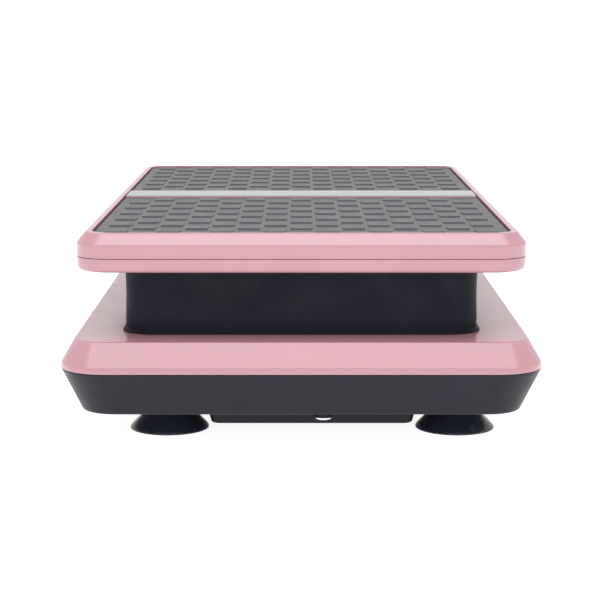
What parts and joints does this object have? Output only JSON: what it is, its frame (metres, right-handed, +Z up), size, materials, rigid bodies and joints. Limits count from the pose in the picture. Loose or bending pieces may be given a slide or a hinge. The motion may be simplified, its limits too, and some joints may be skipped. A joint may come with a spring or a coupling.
{
  "type": "vibration plate",
  "caption": "Low exercise platform that rocks on a central pivot, on a moulded base with suction feet, a rubber neck sleeve and textured foot mats.",
  "frame": {"origin": "on the floor, under the centre of the base", "axes": "+Y along the long side, towards the crank end; +Z up; +X towards the power inlet side"},
  "size_m": [0.2384, 0.398, 0.1032],
  "materials": {
    "pink_shell": "satin moulded plastic, fine grain",
    "charcoal_shell": "fine textured plastic",
    "sleeve_rubber": "soft matte",
    "mat_rubber": "moulded blocks, satin",
    "strip_plastic": "smooth satin",
    "foot_rubber": "smooth, slightly shiny",
    "bright_steel": "ground and polished",
    "zinc_steel": "zinc plated sheet",
    "cast_metal": "as cast",
    "pulley_alloy": "turned",
    "motor_paint": "black enamel",
    "board_plastic": "circuit board",
    "black_fitting": "smooth",
    "lead_jacket": "soft insulated lead"
  },
  "bodies": {
    "base": {"base_cover": "pink_shell", "base_tray": "charcoal_shell", "bottom_cover": "charcoal_shell", "boot_retainer": "charcoal_shell", "neck_boot": "sleeve_rubber", "suction_foot_front_left": "foot_rubber", "suction_foot_front_right": "foot_rubber", "suction_foot_rear_left": "foot_rubber", "suction_foot_rear_right": "foot_rubber", "drive_belt": "foot_rubber", "band_anchor_front": "bright_steel", "band_anchor_rear": "bright_steel", "pivot_shaft": "bright_steel", "crank_bearing_left": "bright_steel", "crank_bearing_right": "bright_steel", "foot_stud_front_left": "zinc_steel", "foot_stud_front_right": "zinc_steel", "foot_stud_rear_left": "zinc_steel", "foot_stud_rear_right": "zinc_steel", "base_screw_front_left": "zinc_steel", "base_screw_front_right": "zinc_steel", "base_screw_rear_left": "zinc_steel", "base_screw_rear_right": "zinc_steel", "chassis_plate": "zinc_steel", "pivot_bracket_left": "zinc_steel", "pivot_bracket_right": "zinc_steel", "motor_bracket": "zinc_steel", "crank_block_left": "cast_metal", "crank_block_right": "cast_metal", "motor_body": "motor_paint", "control_board": "board_plastic", "power_inlet": "black_fitting", "switch_housing": "black_fitting", "motor_lead": "lead_jacket", "inlet_lead": "lead_jacket"},
    "platform": {"platform_top": "pink_shell", "platform_base": "pink_shell", "foot_mat_left": "mat_rubber", "foot_mat_right": "mat_rubber", "centre_strip": "strip_plastic", "deck_frame": "zinc_steel", "display_board": "board_plastic", "hub_bracket_left": "zinc_steel", "hub_bracket_right": "zinc_steel", "hub_bearing_left": "bright_steel", "hub_bearing_right": "bright_steel", "drive_bracket": "zinc_steel", "wrist_pin": "bright_steel", "platform_screw_front_left": "zinc_steel", "platform_screw_front_right": "zinc_steel", "platform_screw_rear_left": "zinc_steel", "platform_screw_rear_right": "zinc_steel"},
    "crank": {"crankshaft": "bright_steel", "crank_pulley": "pulley_alloy"},
    "motor_rotor": {"motor_shaft": "bright_steel", "motor_pulley": "pulley_alloy"},
    "rod": {"connecting_rod": "cast_metal", "rod_bearing": "bright_steel", "rod_bush": "foot_rubber"},
    "rocker": {"switch_rocker": "black_fitting"}
  },
  "joints": [
    {"name": "platform_rock", "type": "hinge", "parent": "base", "child": "platform", "pos_m": [0, 0, 0.068], "axis": [1, 0, 0], "range_deg": [-1, 1]},
    {"name": "crank_spin", "type": "hinge", "parent": "base", "child": "crank", "pos_m": [0, 0.1, 0.04], "axis": [1, 0, 0], "continuous": true},
    {"name": "motor_spin", "type": "hinge", "parent": "base", "child": "motor_rotor", "pos_m": [0, -0.095, 0.0415], "axis": [1, 0, 0], "continuous": true},
    {"name": "rod_swing", "type": "hinge", "parent": "crank", "child": "rod", "pos_m": [0, 0.10175, 0.04], "axis": [1, 0, 0], "continuous": true},
    {"name": "switch_rock", "type": "hinge", "parent": "base", "child": "rocker", "pos_m": [0.11405, 0.084, 0.02465], "axis": [0, 1, 0], "range_deg": [0, 16]}
  ],
  "couplings": [
    {"joint": "motor_spin", "follows": "crank_spin", "ratio": 1.8889},
    {"joint": "rod_swing", "follows": "crank_spin", "ratio": -1}
  ]
}
